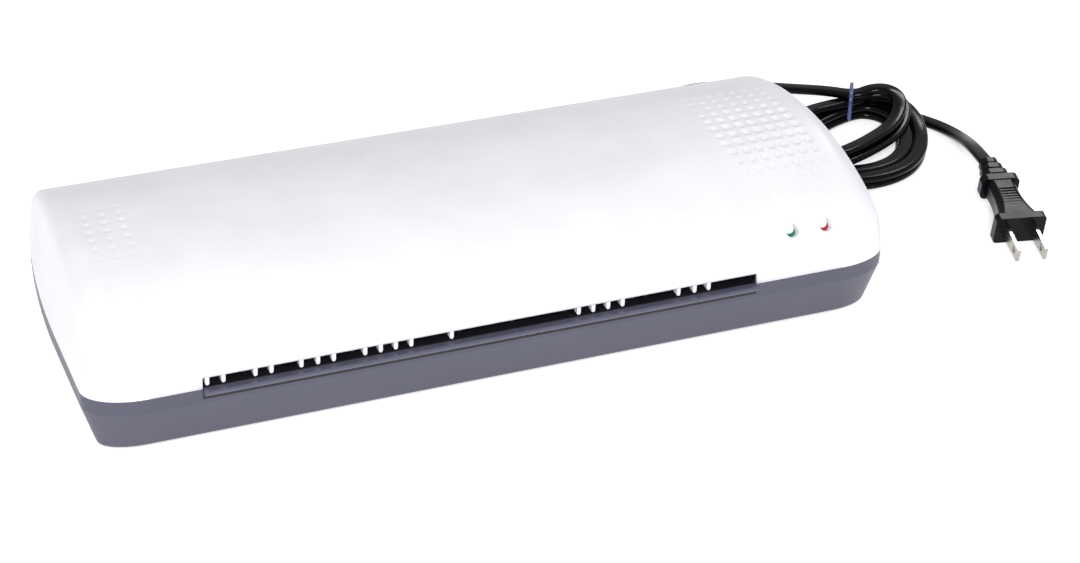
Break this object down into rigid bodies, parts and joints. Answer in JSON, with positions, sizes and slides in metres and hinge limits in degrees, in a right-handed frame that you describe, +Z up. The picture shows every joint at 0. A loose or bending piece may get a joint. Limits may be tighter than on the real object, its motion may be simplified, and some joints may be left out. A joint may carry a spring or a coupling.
{
  "type": "pouch laminator",
  "caption": "Desktop pouch laminator with domed cover, front feed slot, geared roller pair between heater plates and a mains lead.",
  "frame": {"origin": "centre of the footprint on the surface the feet stand on", "axes": "+X to the right end seen from the feed slot, +Y to the back where pouches leave, +Z up"},
  "size_m": [0.4549, 0.2158, 0.0664],
  "materials": {
    "white_case": "satin moulded",
    "grey_case": "satin moulded",
    "grey_tray": "satin moulded",
    "black_plastic": "fine texture",
    "rocker_black": "gloss",
    "rubber_black": "matt",
    "steel_screw": "zinc plated",
    "zinc_steel": "zinc plated sheet",
    "heater_aluminium": "extruded",
    "mica": "mica strip",
    "phenolic": "moulded",
    "gear_nylon": "nylon",
    "bright_steel": "ground",
    "spring_steel": "drawn",
    "silicone_red": "ground silicone",
    "bronze_bush": "sintered",
    "block_plastic": "filled resin",
    "board_green": "solder mask",
    "component_black": "moulded",
    "lamp_green": "tinted lens",
    "lamp_red": "tinted lens",
    "cord_black": "pvc",
    "plug_black": "pvc moulded",
    "blade_brass": "nickel plated",
    "tie_clear": "clear film"
  },
  "bodies": {
    "case": {"base_shell": "grey_case", "board_components": "component_black", "bracket_screws": "steel_screw", "case_screws": "steel_screw", "control_board": "board_green", "cord_boot": "plug_black", "cord_coil": "cord_black", "cord_lead": "cord_black", "cord_tail": "cord_black", "cord_tie": "tie_clear", "cross_screws": "steel_screw", "drive_motor": "zinc_steel", "exit_tray": "grey_tray", "feed_tray": "grey_tray", "front_tie_bar": "zinc_steel", "idler_pin": "bright_steel", "indicator_board": "board_green", "left_side_plate": "zinc_steel", "lower_heater_plate": "heater_aluminium", "lower_heating_element": "mica", "lower_roller_bushes": "bronze_bush", "motor_bracket": "zinc_steel", "motor_screws": "steel_screw", "plate_screws": "steel_screw", "plug_blades": "blade_brass", "plug_body": "plug_black", "power_lamp": "lamp_red", "power_switch_housing": "black_plastic", "pressure_springs": "spring_steel", "ready_lamp": "lamp_green", "rear_panel": "black_plastic", "rear_tie_bar": "zinc_steel", "right_side_plate": "zinc_steel", "rubber_feet": "rubber_black", "thermal_fuse": "zinc_steel", "thermostat": "phenolic", "top_cover": "white_case", "tray_screws": "steel_screw", "upper_guide": "zinc_steel", "upper_heater_plate": "heater_aluminium", "upper_heating_element": "mica"},
    "upper_roller": {"upper_roller_shaft": "bright_steel", "upper_roller_sleeve": "silicone_red", "upper_roller_gear": "gear_nylon", "upper_roller_clips": "spring_steel"},
    "lower_roller": {"lower_roller_shaft": "bright_steel", "lower_roller_sleeve": "silicone_red", "lower_roller_gear": "gear_nylon", "lower_roller_clips": "spring_steel"},
    "bearing_carriage": {"upper_bearing_blocks": "block_plastic"},
    "idler": {"idler_gear": "gear_nylon"},
    "motor_rotor": {"motor_shaft": "bright_steel", "motor_pinion": "gear_nylon"},
    "switch_rocker": {"power_switch_rocker": "rocker_black"}
  },
  "joints": [
    {"name": "lower_roller_spin", "type": "hinge", "parent": "case", "child": "lower_roller", "pos_m": [0, 0.012, 0.0199], "axis": [1, 0, 0], "continuous": true},
    {"name": "pressure_lift", "type": "slide", "parent": "case", "child": "bearing_carriage", "axis": [0, 0, 1], "range_m": [0, 0.001], "stiffness_N_per_m": 3000, "springref_m": -0.003, "deforming": ["pressure_springs"]},
    {"name": "upper_roller_spin", "type": "hinge", "parent": "bearing_carriage", "child": "upper_roller", "pos_m": [0, 0.012, 0.0399], "axis": [1, 0, 0], "continuous": true},
    {"name": "idler_spin", "type": "hinge", "parent": "case", "child": "idler", "pos_m": [0.125, -0.01361, 0.02441], "axis": [1, 0, 0], "continuous": true},
    {"name": "motor_spin", "type": "hinge", "parent": "case", "child": "motor_rotor", "pos_m": [0.13, -0.03582, 0.03037], "axis": [1, 0, 0], "continuous": true},
    {"name": "switch_rock", "type": "hinge", "parent": "case", "child": "switch_rocker", "pos_m": [0.123, 0.0624, 0.0155], "axis": [0, 0, 1], "range_deg": [-16, 0]}
  ],
  "couplings": [
    {"joint": "upper_roller_spin", "follows": "lower_roller_spin", "ratio": -1},
    {"joint": "idler_spin", "follows": "lower_roller_spin", "ratio": -0.625},
    {"joint": "motor_spin", "follows": "lower_roller_spin", "ratio": 1.4286}
  ]
}
